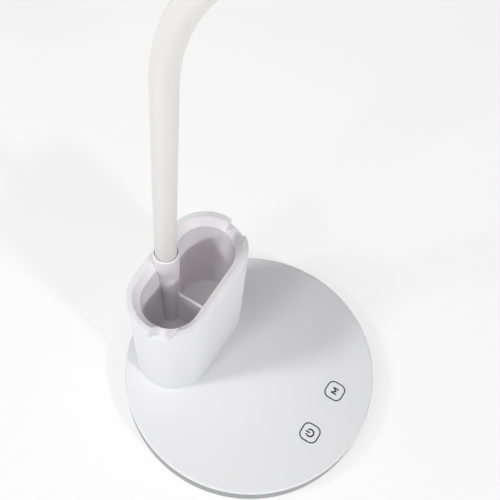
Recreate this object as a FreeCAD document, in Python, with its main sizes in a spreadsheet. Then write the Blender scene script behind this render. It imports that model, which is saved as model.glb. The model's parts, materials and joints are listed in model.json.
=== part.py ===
import FreeCAD, Part
import math
import os
import Sketcher
from FreeCAD import Placement, Rotation, Vector

# Desk lamp on a round touch base. An oval organizer cup stands on the back of the base, and a
# flexible neck rises from a post in the cup's back wall and arches forward to a slim lamp head.
# Millimetres. The origin is the centre of the base on the desk, +Z is up, +X is the user's right
# and +Y points to the back, so the touch keys lie towards -Y.

SIZES = (
    # Round base
    ("base_radius", 80.0),
    ("base_height", 15.0),
    ("base_edge_round", 1.2),
    ("cover_wall", 2.5),
    ("cover_top", 2.5),
    ("cover_lift", 0.5),
    ("plate_thickness", 3.2),
    ("plate_gap", 0.2),
    ("pad_inset", 6.0),
    ("pad_thickness", 1.2),
    ("pad_gap", 0.2),
    ("ballast_inset", 16.0),
    ("ballast_thickness", 4.0),
    ("ballast_notch_radius", 13.0),
    ("ballast_screw_inset", 24.0),
    ("base_screw_inset", 9.0),
    ("boss_radius", 3.4),
    ("screw_radius", 1.45),
    ("screw_play", 0.1),
    ("screw_head_radius", 2.7),
    ("screw_head_height", 1.5),
    ("screw_drive_radius", 0.9),
    ("screw_drive_depth", 0.7),
    ("base_screw_length", 9.0),
    # Touch keys and electronics in the base
    ("key_spread", 16.1),
    ("key_inset", 26.1),
    ("touch_pad_radius", 5.5),
    ("board_side", 13.9),
    ("board_reach", 11.5),
    ("board_thickness", 1.2),
    ("board_drop", 2.1),
    ("standoff_radius", 2.0),
    ("standoff_inset", 4.0),
    ("standoff_reach", 6.1),
    ("chip_half", 4.0),
    ("chip_height", 0.9),
    ("inlet_half_width", 8.0),
    ("inlet_board_setback", 3.4),
    ("inlet_board_length", 8.0),
    ("inlet_board_thickness", 1.0),
    ("inlet_post_height", 1.8),
    ("inlet_post_x", 6.0),
    ("inlet_post_inset", 5.8),
    ("inlet_post_radius", 1.5),
    ("socket_half_width", 4.5),
    ("socket_height", 3.2),
    ("socket_length", 7.2),
    ("socket_setback", 0.5),
    ("socket_wall", 0.35),
    ("socket_play", 0.2),
    ("socket_tongue_half", 3.0),
    ("socket_tongue_thickness", 0.7),
    # Organizer cup, outer shell
    ("cup_inset", 33.9),
    ("cup_half", 18.1),
    ("rim_radius", 24.7),
    ("foot_radius", 23.6),
    ("cup_height", 89.6),
    ("shell_wall", 2.0),
    ("lip_width", 3.2),
    ("lip_round", 0.9),
    ("band_height", 8.6),
    ("cup_boss_radius", 3.7),
    ("cup_boss_height", 11.0),
    ("cup_boss_bite", 0.5),
    ("cup_screw_length", 10.0),
    # Organizer cup, inner liner
    ("liner_gap", 0.15),
    ("liner_drop", 0.2),
    ("mouth_radius", 17.2),
    ("funnel_depth", 5.2),
    ("funnel_land", 0.4),
    ("floor_height", 16.0),
    ("floor_thickness", 2.0),
    ("floor_round", 1.6),
    ("liner_wall", 2.0),
    ("liner_taper", 1.8),
    ("divider_thickness", 1.6),
    ("divider_height", 36.0),
    ("divider_scoop", 3.0),
    ("divider_bite", 0.5),
    ("notch_depth", 5.0),
    ("notch_width", 10.3),
    ("notch_forward", 7.55),
    ("notch_front_lean", 3.1),
    ("notch_back_lean", 0.4),
    # Neck post and its clamp
    ("neck_back", 14.8),
    ("collar_height", 9.3),
    ("collar_radius", 7.6),
    ("collar_bore", 6.9),
    ("collar_seat", 4.6),
    ("post_radius", 5.9),
    ("post_forward", 1.4),
    ("post_blend", 8.0),
    ("post_rib_half", 5.5),
    ("post_rib_depth", 3.9),
    ("post_foot_radius", 6.3),
    ("rod_radius", 4.0),
    ("rod_play", 0.2),
    ("rod_below", 6.5),
    ("rod_bore", 1.6),
    ("cup_ferrule_radius", 6.3),
    ("cup_ferrule_height", 7.0),
    ("cup_ferrule_floor", 2.0),
    ("washer_radius", 7.0),
    ("washer_thickness", 1.2),
    ("nut_half_flats", 6.5),
    ("nut_height", 5.0),
    # Flexible neck
    ("sleeve_radius", 6.25),
    ("sleeve_bore", 4.45),
    ("core_radius", 4.3),
    ("core_bore", 2.2),
    ("neck_straight", 9.0),
    ("bend_length", 24.0),
    ("neck_pitch", 63.0),
    ("first_bend_radius", 625.0),
    ("arch_radius", 140.0),
    ("neck_end_length", 50.0),
    # Lamp head, measured in its own frame
    ("head_length", 165.0),
    ("head_radius", 21.0),
    ("head_above", 8.5),
    ("head_below", 9.5),
    ("head_wall", 1.8),
    ("head_round", 3.0),
    ("head_entry", 4.0),
    ("head_hole_play", 0.3),
    ("head_play", 0.2),
    ("diffuser_thickness", 2.0),
    ("diffuser_step", 1.2),
    ("frame_height", 4.2),
    ("frame_wall", 1.6),
    ("led_board_end", 5.0),
    ("led_board_radius", 16.5),
    ("led_board_thickness", 1.2),
    ("led_board_start", 28.0),
    ("heat_plate_thickness", 1.5),
    ("led_half", 1.4),
    ("led_height", 0.8),
    ("led_row_x", 7.4),
    ("head_boss_radius", 3.0),
    ("head_boss_x", 11.5),
    ("head_boss_inset", 4.3),
    ("head_screw_length", 4.5),
    ("plug_flange_radius", 5.9),
    ("plug_flange", 3.0),
    ("plug_radius", 4.6),
    ("plug_length", 20.0),
    ("clamp_half_width", 10.0),
    ("clamp_length", 12.0),
    ("clamp_top", 5.0),
    ("clamp_start", 7.0),
    ("clamp_play", 0.1),
    ("clamp_screw_x", 7.3),
    # How far a cut runs past the face it opens
    ("overrun", 2.0),
)

BASE_SCREWS = 4
BALLAST_SCREWS = 3
BENDS = 6
STRAIGHT_LINKS = 2
LEDS_IN_ROW = 12
HALF = 0.5
RIGHT_ANGLE = 90.0
FULL_TURN = 360.0

document = FreeCAD.newDocument("desk_lamp_organizer")
sheet = document.addObject("Spreadsheet::Sheet", "Sizes")


class Size:
    """A length with its number and the sheet formula that a feature is tied to."""

    def __init__(self, number, formula):
        self.number = number
        self.formula = formula

    def __float__(self):
        return float(self.number)

    def __add__(self, other):
        return Size(self.number + float(other), f"({self.formula} + {formula_of(other)})")

    def __sub__(self, other):
        return Size(self.number - float(other), f"({self.formula} - {formula_of(other)})")

    def __mul__(self, other):
        return Size(self.number * float(other), f"({self.formula} * {formula_of(other)})")

    def __truediv__(self, other):
        return Size(self.number / float(other), f"({self.formula} / {formula_of(other)})")

    def __radd__(self, other):
        return Size(other + self.number, f"({other!r} + {self.formula})")

    def __neg__(self):
        return Size(-self.number, f"(-{self.formula})")


def formula_of(length):
    """The formula of a Size, or the number itself."""
    return length.formula if isinstance(length, Size) else repr(length)


class Cells:
    """The sheet's cells by name."""


def fill_sheet():
    """Write every size into the sheet under its name."""
    cells = Cells()
    for row, (name, number) in enumerate(SIZES, start=1):
        sheet.set(f"A{row}", str(number))
        sheet.setAlias(f"A{row}", name)
        setattr(cells, name, Size(number, f"Sizes.{name}"))
    document.recompute()
    return cells


s = fill_sheet()
parts = []


def bind(item, path, length):
    """Tie one property of a document object to the sheet."""
    item.setExpression(path, formula_of(length))


def new_body(name):
    """A body for one piece of the lamp. Its label is the piece's name."""
    body = document.addObject("PartDesign::Body", name)
    body.Label = name
    parts.append(body)
    return body


def sketch_on(body, role="XY_Plane", height=0.0):
    """A sketch on one of the body's own origin planes, lifted along the plane's normal."""
    plane = [item for item in body.Origin.OriginFeatures if item.Role == role][0]
    sketch = body.newObject("Sketcher::SketchObject", f"{body.Name}_sketch")
    sketch.AttachmentSupport = [(plane, "")]
    sketch.MapMode = "FlatFace"
    bind(sketch, "AttachmentOffset.Base.z", height)
    return sketch


def dimension(sketch, kind, where, length):
    """Add one sized constraint and tie it to the sheet."""
    index = sketch.addConstraint(Sketcher.Constraint(kind, *where, float(length)))
    sketch.setExpression(f"Constraints[{index}]", formula_of(length))


def pin_point(sketch, geometry, point, x, y):
    """Hold a point of the sketch at x, y from the sketch's origin."""
    dimension(sketch, "DistanceX", (-1, 1, geometry, point), x)
    dimension(sketch, "DistanceY", (-1, 1, geometry, point), y)


def circle(sketch, x, y, radius):
    """A circle, by its centre and radius."""
    centre = Vector(float(x), float(y), 0)
    index = sketch.addGeometry(Part.Circle(centre, Vector(0, 0, 1), float(radius)))
    pin_point(sketch, index, 3, x, y)
    dimension(sketch, "Radius", (index,), radius)


def polygon(sketch, points):
    """A closed outline of straight lines through the given points."""
    corners = [Vector(float(x), float(y), 0) for x, y in points]
    ends = corners[1:] + corners[:1]
    first = sketch.addGeometry([Part.LineSegment(a, b) for a, b in zip(corners, ends)])[0]
    count = len(points)
    for number, (x, y) in enumerate(points):
        line = first + number
        before = first + (number - 1) % count
        sketch.addConstraint(Sketcher.Constraint("Coincident", before, 2, line, 1))
        pin_point(sketch, line, 1, x, y)


def rectangle(sketch, low_x, low_y, high_x, high_y):
    """A rectangle by two corners."""
    polygon(sketch, [(low_x, low_y), (high_x, low_y), (high_x, high_y), (low_x, high_y)])


def oval(sketch, x, y, half, radius, along_y=False):
    """Two half rounds joined by straight sides. half reaches from the middle to their centres."""
    if along_y:
        centres = [(x, half + y), (x, -half + y)]
        turn = math.pi / 2
    else:
        centres = [(half + x, y), (-half + x, y)]
        turn = 0.0
    ends = []
    arcs = []
    for number, (centre_x, centre_y) in enumerate(centres):
        start = -math.pi / 2 + turn + number * math.pi
        stop = start + math.pi
        middle = Vector(float(centre_x), float(centre_y), 0)
        full = Part.Circle(middle, Vector(0, 0, 1), float(radius))
        arcs.append(sketch.addGeometry(Part.ArcOfCircle(full, start, stop)))
        reach = float(radius)
        ends.append([middle + Vector(math.cos(a), math.sin(a), 0) * reach for a in (start, stop)])
        pin_point(sketch, arcs[-1], 3, centre_x, centre_y)
    dimension(sketch, "Radius", (arcs[0],), radius)
    sketch.addConstraint(Sketcher.Constraint("Equal", arcs[0], arcs[1]))
    for number in (0, 1):
        after = 1 - number
        side = sketch.addGeometry(Part.LineSegment(ends[number][1], ends[after][0]))
        sketch.addConstraint(Sketcher.Constraint("Tangent", arcs[number], 2, side, 1))
        sketch.addConstraint(Sketcher.Constraint("Tangent", side, 2, arcs[after], 1))


def finish_feature(body, feature, cuts):
    """Recompute, and see that the feature adds or takes away material as meant."""
    before = body.Shape.Volume if not body.Shape.isNull() else 0.0
    document.recompute()
    change = feature.Shape.Volume - before
    if cuts and change >= 0 or not cuts and change <= 0:
        raise ValueError(f"{body.Name}: {feature.Name} changes the volume by {change}")
    return feature


def pad(body, sketch, length, middle=False):
    """Raise a sketch along its plane's normal."""
    feature = body.newObject("PartDesign::Pad", f"{body.Name}_pad")
    feature.Profile = sketch
    feature.Midplane = middle
    bind(feature, "Length", length)
    return finish_feature(body, feature, cuts=False)


def pocket(body, sketch, length, middle=False, upward=False):
    """Cut a sketch into the piece, downward unless it is told otherwise."""
    feature = body.newObject("PartDesign::Pocket", f"{body.Name}_pocket")
    feature.Profile = sketch
    feature.Midplane = middle
    feature.Reversed = upward
    bind(feature, "Length", length)
    return finish_feature(body, feature, cuts=True)


def loft(body, sketches, cuts=False):
    """Join a low and a high outline, to add or to cut."""
    kind = "SubtractiveLoft" if cuts else "AdditiveLoft"
    feature = body.newObject(f"PartDesign::{kind}", f"{body.Name}_loft")
    feature.Profile = sketches[-1]
    feature.Sections = sketches[:-1]
    feature.Ruled = True
    return finish_feature(body, feature, cuts)


def fillet(body, radius, wanted):
    """Round the edges that the test picks."""
    base = body.Tip
    names = [f"Edge{n}" for n, edge in enumerate(base.Shape.Edges, start=1) if wanted(edge)]
    feature = body.newObject("PartDesign::Fillet", f"{body.Name}_fillet")
    feature.Base = (base, names)
    bind(feature, "Radius", radius)
    document.recompute()
    return feature


def level(edge, height):
    """Whether an edge lies flat at a height."""
    near = float(s.screw_play)
    return all(abs(z - float(height)) < near for z in (edge.BoundBox.ZMin, edge.BoundBox.ZMax))


def ring(body, height, thickness, outer, inner, x=0.0, y=0.0):
    """A round washer-like block."""
    sketch = sketch_on(body, height=height)
    circle(sketch, x, y, outer)
    circle(sketch, x, y, inner)
    return pad(body, sketch, thickness)


def disc(body, height, thickness, radius, x=0.0, y=0.0):
    """A round block."""
    sketch = sketch_on(body, height=height)
    circle(sketch, x, y, radius)
    return pad(body, sketch, thickness)


def drill(body, height, depth, radius, places, upward=False):
    """Round holes at the given places, all from one height."""
    sketch = sketch_on(body, height=height)
    for x, y in places:
        circle(sketch, x, y, radius)
    return pocket(body, sketch, depth, upward=upward)


def screws(name, places, head_height, length, head_up=False):
    """Cross-head screws of one kind. head_height is the seat under the heads."""
    body = new_body(name)
    head = sketch_on(body, height=head_height if head_up else head_height - s.screw_head_height)
    shank = sketch_on(body, height=head_height - length if head_up else head_height)
    drive_height = head_height + s.screw_head_height if head_up else head_height - s.screw_head_height
    drive = sketch_on(body, height=drive_height)
    for x, y in places:
        circle(head, x, y, s.screw_head_radius)
        circle(shank, x, y, s.screw_radius)
        circle(drive, x, y, s.screw_drive_radius)
    pad(body, head, s.screw_head_height)
    pad(body, shank, length)
    pocket(body, drive, s.screw_drive_depth, upward=not head_up)
    return body


def on_circle(radius, count, first_degrees):
    """Evenly spaced places on a circle about the origin."""
    places = []
    for number in range(count):
        angle = math.radians(first_degrees + FULL_TURN * number / count)
        places.append((radius * math.cos(angle), radius * math.sin(angle)))
    return places


# Places across the base that several pieces share, measured in from its edge
pad_radius = s.base_radius - s.pad_inset
ballast_radius = s.base_radius - s.ballast_inset
base_screw_circle = s.base_radius - s.base_screw_inset
ballast_screw_circle = ballast_radius - s.ballast_screw_inset
key_y = s.key_inset - s.base_radius
board_half_width = s.key_spread + s.board_side
standoff_x = board_half_width - s.standoff_inset
inlet_board_back = s.base_radius - s.inlet_board_setback
inlet_board_front = inlet_board_back - s.inlet_board_length
cup_y = s.base_radius - s.cup_inset
neck_y = cup_y + s.neck_back
notch_y = cup_y - s.notch_forward

# Heights that several pieces share
plate_top = s.cover_lift + s.plate_thickness
cover_under = s.base_height - s.cover_top
cover_bore = s.base_radius - s.cover_wall
board_top = cover_under - s.board_drop
board_under = board_top - s.board_thickness
inlet_board_under = plate_top + s.inlet_post_height
inlet_board_top = inlet_board_under + s.inlet_board_thickness
rim = s.base_height + s.cup_height
band_bottom = rim - s.band_height
liner_top = rim - s.liner_drop
mouth = rim - s.funnel_depth
floor_top = s.base_height + s.floor_height
floor_under = floor_top - s.floor_thickness
collar_top = rim + s.collar_height
collar_floor = rim - s.collar_seat
base_screw_places = on_circle(base_screw_circle, BASE_SCREWS, RIGHT_ANGLE / 2)
ballast_screw_places = on_circle(ballast_screw_circle, BALLAST_SCREWS, -RIGHT_ANGLE / 3)
screw_hole = s.screw_radius + s.screw_play
standoff_places = [
    (standoff_x * side, key_y + s.standoff_reach * end) for side in (1.0, -1.0) for end in (-1.0, 1.0)
]
key_places = [(-s.key_spread, key_y), (s.key_spread, key_y)]


def antislip_pad():
    """Foam pad, stuck in the recess under the bottom plate. The lamp rests on it."""
    body = new_body("antislip_pad")
    disc(body, 0.0, s.pad_thickness, pad_radius - s.pad_gap)


def base_bottom():
    """Moulded bottom plate that closes the base, with counterbored screw holes and inlet posts."""
    body = new_body("base_bottom")
    disc(body, s.cover_lift, s.plate_thickness, cover_bore - s.plate_gap)
    recess = sketch_on(body, height=s.pad_thickness)
    circle(recess, 0.0, 0.0, pad_radius)
    pocket(body, recess, s.pad_thickness)
    seat = s.pad_thickness + s.screw_head_height
    drill(body, plate_top, s.plate_thickness, screw_hole, base_screw_places)
    head_hole = s.screw_head_radius + s.screw_play
    drill(body, seat, s.screw_head_height, head_hole, base_screw_places)
    drill(body, plate_top, s.plate_thickness, s.screw_radius, ballast_screw_places)
    posts = sketch_on(body, height=plate_top)
    for side in (-1.0, 1.0):
        post_y = inlet_board_back - s.inlet_post_inset
        circle(posts, s.inlet_post_x * side, post_y, s.inlet_post_radius)
    pad(body, posts, s.inlet_post_height)


def ballast_plate():
    """Steel disc that keeps the lamp from tipping, cut away round the neck's nut."""
    body = new_body("ballast_plate")
    disc(body, plate_top, s.ballast_thickness, ballast_radius)
    top = plate_top + s.ballast_thickness
    drill(body, top, s.ballast_thickness, s.ballast_notch_radius, [(0.0, neck_y)])
    drill(body, top, s.ballast_thickness, screw_hole, ballast_screw_places)


def base_cover():
    """Round base cover: a shallow moulded cap with screw bosses and standoffs under its top."""
    body = new_body("base_cover")
    disc(body, s.cover_lift, s.base_height - s.cover_lift, s.base_radius)
    fillet(body, s.base_edge_round, lambda edge: level(edge, s.base_height))
    inside = sketch_on(body, height=cover_under)
    circle(inside, 0.0, 0.0, cover_bore)
    pocket(body, inside, cover_under)
    bosses = sketch_on(body, height=plate_top)
    for x, y in base_screw_places:
        circle(bosses, x, y, s.boss_radius)
        circle(bosses, x, y, s.screw_radius + s.screw_play * HALF)
    pad(body, bosses, cover_under - plate_top)
    standoffs = sketch_on(body, height=board_top)
    for x, y in standoff_places:
        circle(standoffs, x, y, s.standoff_radius)
    pad(body, standoffs, s.board_drop)
    drill(body, s.base_height, s.cover_top, s.rod_radius + s.rod_play, [(0.0, neck_y)])
    drill(body, s.base_height, s.cover_top, screw_hole, cup_screw_places())
    mouth_sketch = sketch_on(body, "XZ_Plane", height=-s.base_radius)
    socket_middle = inlet_board_top + s.socket_height * HALF
    half_round = s.socket_height * HALF
    straight = s.socket_half_width - half_round
    oval(mouth_sketch, 0.0, socket_middle, straight, half_round + s.socket_play)
    pocket(body, mouth_sketch, s.cover_wall * 2, upward=True)


def cup_screw_places():
    """Where the four screws hold the organizer's shell from under the base cover."""
    reach = s.foot_radius - s.shell_wall - s.cup_boss_radius + s.cup_boss_bite
    return [
        (s.cup_half + reach, cup_y),
        (-s.cup_half - reach, cup_y),
        (s.cup_half, cup_y - reach),
        (-s.cup_half, cup_y - reach),
    ]


def control_board():
    """Circuit board under the touch keys, with its driver chip and coil."""
    body = new_body("control_board")
    plate = sketch_on(body, height=board_under)
    front = key_y - s.board_reach
    rectangle(plate, -board_half_width, front, board_half_width, key_y + s.board_reach)
    pad(body, plate, s.board_thickness)
    drill(body, board_top, s.board_thickness, s.screw_radius, standoff_places)
    chips = sketch_on(body, height=board_under - s.chip_height)
    rectangle(chips, -s.chip_half, key_y - s.chip_half, s.chip_half, key_y + s.chip_half)
    pad(body, chips, s.chip_height)


def touch_pads():
    """Sensor pads between the board and the cover, one under each touch key."""
    body = new_body("touch_pads")
    sketch = sketch_on(body, height=board_top)
    for x, y in key_places:
        circle(sketch, x, y, s.touch_pad_radius)
    pad(body, sketch, s.board_drop)


def inlet_board():
    """Small board on two posts that carries the power socket."""
    body = new_body("inlet_board")
    sketch = sketch_on(body, height=inlet_board_under)
    rectangle(
        sketch, -s.inlet_half_width, inlet_board_front, s.inlet_half_width, inlet_board_back
    )
    pad(body, sketch, s.inlet_board_thickness)


def power_socket():
    """Pressed metal socket with a contact tongue, open through the back of the base."""
    body = new_body("power_socket")
    middle = inlet_board_top + s.socket_height * HALF
    half_round = s.socket_height * HALF
    straight = s.socket_half_width - half_round
    face = s.base_radius - s.socket_setback
    shell = sketch_on(body, "XZ_Plane", height=-face)
    oval(shell, 0.0, middle, straight, half_round)
    pad(body, shell, s.socket_length)
    inside = sketch_on(body, "XZ_Plane", height=-face)
    oval(inside, 0.0, middle, straight, half_round - s.socket_wall)
    pocket(body, inside, s.socket_length - s.socket_wall, upward=True)
    tongue = sketch_on(body, "XZ_Plane", height=-face + s.socket_wall * 2)
    low = middle - s.socket_tongue_thickness * HALF
    rectangle(tongue, -s.socket_tongue_half, low, s.socket_tongue_half, low + s.socket_tongue_thickness)
    pad(body, tongue, s.socket_length - s.socket_wall * 2)


def shell_radius(height):
    """Outer radius of the organizer's shell at a height, because its wall leans out upwards."""
    rise = (s.rim_radius - s.foot_radius) / s.cup_height
    return s.foot_radius + rise * (height - s.base_height)


def cut_notches(body):
    """Rests for a phone or a tablet: a notch through each end of the cup's rim."""
    sketch = sketch_on(body, "YZ_Plane")
    low = rim - s.notch_depth
    front = notch_y - s.notch_width * HALF
    back = notch_y + s.notch_width * HALF
    polygon(
        sketch,
        [
            (front, low),
            (back, low),
            (back + s.notch_back_lean, rim + s.overrun),
            (front - s.notch_front_lean, rim + s.overrun),
        ],
    )
    pocket(body, sketch, (s.cup_half + s.rim_radius + s.overrun) * 2, middle=True)


def organizer_shell():
    """Outer wall of the cup: oval, leaning out a little, with a broad lip at the top."""
    body = new_body("organizer_shell")
    low = sketch_on(body, height=s.base_height)
    oval(low, 0.0, cup_y, s.cup_half, s.foot_radius)
    high = sketch_on(body, height=rim)
    oval(high, 0.0, cup_y, s.cup_half, s.rim_radius)
    loft(body, [low, high])
    fillet(body, s.lip_round, lambda edge: level(edge, rim))
    low_inside = sketch_on(body, height=s.base_height)
    oval(low_inside, 0.0, cup_y, s.cup_half, s.foot_radius - s.shell_wall)
    high_inside = sketch_on(body, height=band_bottom)
    oval(high_inside, 0.0, cup_y, s.cup_half, shell_radius(band_bottom) - s.shell_wall)
    loft(body, [low_inside, high_inside], cuts=True)
    opening = sketch_on(body, height=rim)
    oval(opening, 0.0, cup_y, s.cup_half, s.rim_radius - s.lip_width)
    pocket(body, opening, s.band_height + s.overrun)
    drill(body, rim, s.band_height + s.overrun, s.collar_radius + s.liner_gap, [(0.0, neck_y)])
    bosses = sketch_on(body, height=s.base_height)
    for x, y in cup_screw_places():
        circle(bosses, x, y, s.cup_boss_radius)
        circle(bosses, x, y, s.screw_radius + s.screw_play * HALF)
    pad(body, bosses, s.cup_boss_height)
    cut_notches(body)


def organizer_liner():
    """Inner cup with a funnel mouth, a divider and the hollow post that holds the neck."""
    body = new_body("organizer_liner")
    mouth_outside = s.mouth_radius + s.liner_wall
    floor_radius = s.mouth_radius - s.liner_taper
    low = sketch_on(body, height=floor_under)
    oval(low, 0.0, cup_y, s.cup_half, floor_radius + s.liner_wall)
    high = sketch_on(body, height=band_bottom)
    oval(high, 0.0, cup_y, s.cup_half, mouth_outside)
    loft(body, [low, high])
    flange = sketch_on(body, height=band_bottom)
    flange_radius = s.rim_radius - s.lip_width - s.liner_gap
    oval(flange, 0.0, cup_y, s.cup_half, flange_radius)
    pad(body, flange, liner_top - band_bottom)
    inside_low = sketch_on(body, height=floor_top)
    oval(inside_low, 0.0, cup_y, s.cup_half, floor_radius)
    inside_high = sketch_on(body, height=mouth)
    oval(inside_high, 0.0, cup_y, s.cup_half, s.mouth_radius)
    loft(body, [inside_low, inside_high], cuts=True)
    funnel_low = sketch_on(body, height=mouth)
    oval(funnel_low, 0.0, cup_y, s.cup_half, s.mouth_radius)
    funnel_high = sketch_on(body, height=liner_top)
    oval(funnel_high, 0.0, cup_y, s.cup_half, flange_radius - s.funnel_land)
    loft(body, [funnel_low, funnel_high], cuts=True)
    fillet(body, s.floor_round, lambda edge: level(edge, floor_top))

    post_y = neck_y - s.post_forward
    blend_low = collar_floor - s.post_blend
    disc(body, floor_under, blend_low - floor_under, s.post_radius, 0.0, post_y)
    blend_start = sketch_on(body, height=blend_low)
    circle(blend_start, 0.0, post_y, s.post_radius)
    blend_end = sketch_on(body, height=collar_floor)
    circle(blend_end, 0.0, neck_y, s.collar_radius)
    loft(body, [blend_start, blend_end])
    disc(body, collar_floor, collar_top - collar_floor, s.collar_radius, 0.0, neck_y)
    rib = sketch_on(body, height=floor_under)
    rib_front = cup_y + s.mouth_radius
    rectangle(rib, -s.post_rib_half, rib_front, s.post_rib_half, rib_front + s.post_rib_depth)
    pad(body, rib, blend_low - floor_under)
    disc(body, s.base_height, floor_top - s.base_height, s.post_foot_radius, 0.0, neck_y)

    divider = sketch_on(body, "YZ_Plane")
    divider_outline(divider, post_y)
    pad(body, divider, s.divider_thickness, middle=True)

    drill(body, collar_top, collar_top - s.base_height, s.rod_radius + s.rod_play, [(0.0, neck_y)])
    drill(body, collar_top, collar_top - collar_floor, s.collar_bore, [(0.0, neck_y)])
    cut_notches(body)


def divider_outline(sketch, post_y):
    """Side view of the divider: level along the top, with a small round up to the neck's post."""
    front = cup_y - s.mouth_radius - s.divider_bite
    back = post_y - s.post_radius * HALF
    foot = floor_top - s.floor_thickness * HALF
    top = floor_top + s.divider_height
    scoop = s.divider_scoop
    face = post_y - s.post_radius
    points = [(front, foot), (back, foot), (back, top + scoop), (face, top + scoop)]
    lines = [Vector(float(x), float(y), 0) for x, y in points]
    last = Vector(float(face - scoop), float(top), 0)
    start = Vector(float(front), float(top), 0)
    chain = [lines[0], lines[1], lines[2], lines[3]]
    first = sketch.addGeometry([Part.LineSegment(a, b) for a, b in zip(chain, chain[1:])])[0]
    middle = Vector(float(face - scoop), float(top + scoop), 0)
    round_edge = Part.Circle(middle, Vector(0, 0, 1), float(scoop))
    arc = sketch.addGeometry(Part.ArcOfCircle(round_edge, -math.pi / 2, 0.0))
    level_top = sketch.addGeometry(Part.LineSegment(last, start))
    closing = sketch.addGeometry(Part.LineSegment(start, lines[0]))
    join = Sketcher.Constraint
    sketch.addConstraint(join("Coincident", first, 2, first + 1, 1))
    sketch.addConstraint(join("Coincident", first + 1, 2, first + 2, 1))
    sketch.addConstraint(join("Coincident", first + 2, 2, arc, 2))
    sketch.addConstraint(join("Coincident", arc, 1, level_top, 1))
    sketch.addConstraint(join("Coincident", level_top, 2, closing, 1))
    sketch.addConstraint(join("Coincident", closing, 2, first, 1))
    pin_point(sketch, first, 1, front, foot)
    pin_point(sketch, first + 1, 1, back, foot)
    pin_point(sketch, first + 2, 1, back, top + scoop)
    pin_point(sketch, arc, 3, face - scoop, top + scoop)
    pin_point(sketch, level_top, 2, front, top)
    dimension(sketch, "Radius", (arc,), scoop)
    dimension(sketch, "DistanceX", (-1, 1, level_top, 1), face - scoop)
    dimension(sketch, "DistanceY", (-1, 1, arc, 2), top + scoop)


def neck_ferrule():
    """Steel foot of the neck: a cup crimped round the core, and a hollow threaded rod below."""
    body = new_body("neck_ferrule")
    disc(body, collar_floor, s.cup_ferrule_height, s.cup_ferrule_radius, 0.0, neck_y)
    disc(body, s.rod_below, collar_floor - s.rod_below, s.rod_radius, 0.0, neck_y)
    top = collar_floor + s.cup_ferrule_height
    drill(body, top, top - s.rod_below, s.rod_bore, [(0.0, neck_y)])
    depth = s.cup_ferrule_height - s.cup_ferrule_floor
    socket = s.core_radius + s.screw_play * HALF
    drill(body, top, depth, socket, [(0.0, neck_y)])


def neck_washer():
    """Washer under the base cover, below the neck's post."""
    body = new_body("neck_washer")
    low = cover_under - s.washer_thickness
    bore = s.rod_radius + s.rod_play
    ring(body, low, s.washer_thickness, s.washer_radius, bore, 0.0, neck_y)


def neck_nut():
    """Hexagon nut on the rod. It clamps the post, the organizer and the neck to the base."""
    body = new_body("neck_nut")
    low = cover_under - s.washer_thickness - s.nut_height
    sketch = sketch_on(body, height=low)
    reach = s.nut_half_flats / math.cos(math.pi / 6)
    corners = []
    for number in range(6):
        angle = math.pi / 3 * number
        corners.append((reach * math.cos(angle), neck_y + reach * math.sin(angle)))
    polygon(sketch, corners)
    circle(sketch, 0.0, neck_y, s.rod_radius + s.screw_play)
    pad(body, sketch, s.nut_height)


def neck_piece(name, outer, inner, length, radius, start):
    """One length of the neck, straight or bent, built from its own start and then set in place."""
    body = new_body(name)
    sketch = sketch_on(body)
    circle(sketch, 0.0, 0.0, outer)
    circle(sketch, 0.0, 0.0, inner)
    if radius is None:
        pad(body, sketch, length)
    else:
        reach = float(outer)
        low = Vector(-reach, -float(radius), 0)
        high = Vector(reach, -float(radius), 0)
        axis = sketch.addGeometry(Part.LineSegment(low, high), True)
        pin_point(sketch, axis, 1, -outer, -radius)
        pin_point(sketch, axis, 2, outer, -radius)
        feature = body.newObject("PartDesign::Revolution", f"{name}_bend")
        feature.Profile = sketch
        feature.ReferenceAxis = (sketch, ["Axis0"])
        bind(feature, "Angle", length / radius * math.degrees(1.0))
        finish_feature(body, feature, cuts=False)
        if body.Shape.CenterOfMass.z < 0:
            feature.Reversed = True
            document.recompute()
    y, z, angle = start
    body.Placement = Placement(Vector(0, y, z), Rotation(Vector(1, 0, 0), math.degrees(angle)))


def step_along(start, length, radius):
    """Where a length of neck ends, as y, z and its lean from upright in radians."""
    y, z, angle = start
    run = float(length)
    if radius is None:
        return y - run * math.sin(angle), z + run * math.cos(angle), angle
    turn = run / float(radius)
    reach = float(radius)
    y -= reach * (math.cos(angle) - math.cos(angle + turn))
    z += reach * (math.sin(angle + turn) - math.sin(angle))
    return y, z, angle + turn


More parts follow.
